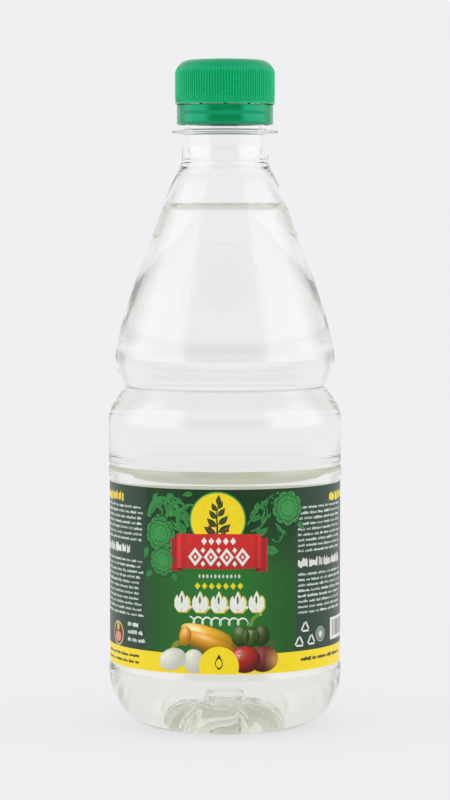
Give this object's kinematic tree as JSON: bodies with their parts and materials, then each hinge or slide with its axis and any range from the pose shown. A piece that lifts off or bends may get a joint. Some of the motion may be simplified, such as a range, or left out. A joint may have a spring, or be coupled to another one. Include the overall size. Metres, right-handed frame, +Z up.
{
  "type": "vinegar bottle",
  "caption": "Clear blown plastic bottle of vinegar with a conical shoulder, creased waist, pushed-up base, wrap-round label and a ribbed screw cap with its tamper band.",
  "frame": {"origin": "centre of the standing ring, on the surface that the bottle stands on", "axes": "+Z up through the cap, -Y out through the middle of the label's front, +X to the right seen from the front"},
  "size_m": [0.071, 0.071, 0.203],
  "materials": {
    "clear_plastic": "clear blown plastic, glossy, slightly wavy",
    "vinegar": "clear, very pale olive liquid",
    "label_film": "printed film, satin gloss: green ground with a yellow band, folk flowers and vegetables",
    "green_plastic": "moulded plastic, soft gloss, slightly translucent"
  },
  "bodies": {
    "root": {"bottle": "clear_plastic", "vinegar": "vinegar", "label": "label_film", "cap": "green_plastic", "tamper_band": "green_plastic"}
  },
  "joints": []
}
